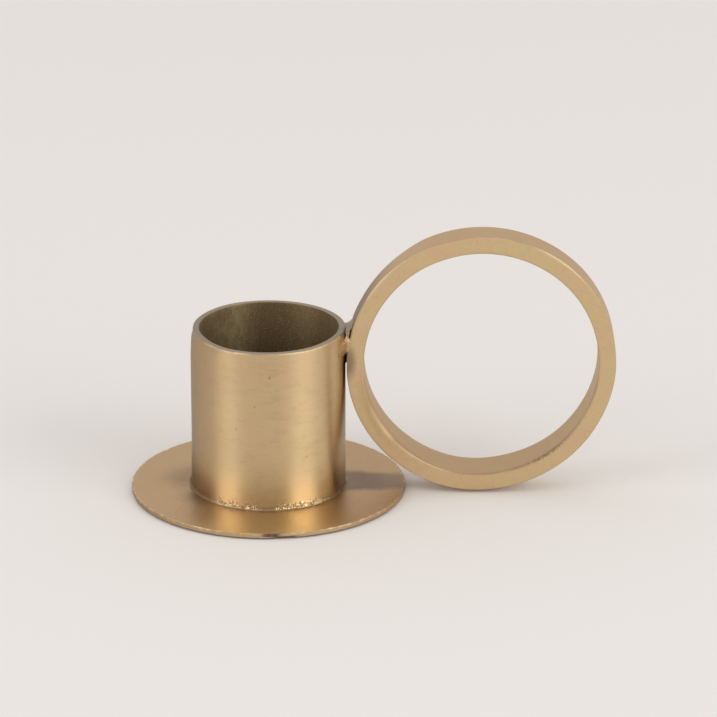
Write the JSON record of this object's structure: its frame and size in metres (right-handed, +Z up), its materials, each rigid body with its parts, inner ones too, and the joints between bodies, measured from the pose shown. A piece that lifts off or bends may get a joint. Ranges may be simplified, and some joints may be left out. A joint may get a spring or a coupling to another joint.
{
  "type": "brass candlestick",
  "caption": "Low brass chamber candlestick: a short tubular candle cup brazed upright on a thin round disc, with a wide flat ring brazed to the cup's side as an upright finger handle.",
  "frame": {"origin": "on the candle cup's axis, at the underside of the base disc, where the object meets the table", "axes": "+Z up along the candle cup's axis, +X from the cup towards the ring handle, +Y along the ring handle's axis, away from the front"},
  "size_m": [0.0781, 0.0444, 0.0436],
  "materials": {
    "disc_brass": "satin brushed brass, hand-filed bright edge",
    "cup_brass": "satin brushed brass outside, dark oxidised inside",
    "ring_brass": "matt satin brass, worn bright along the edges",
    "braze_metal": "rough granular filler metal with bright specks and dark pits"
  },
  "bodies": {
    "root": {"base_disc": "disc_brass", "candle_cup": "cup_brass", "cup_foot_braze": "braze_metal", "ring_handle": "ring_brass", "ring_seam_braze": "braze_metal", "handle_braze": "braze_metal"}
  },
  "joints": []
}
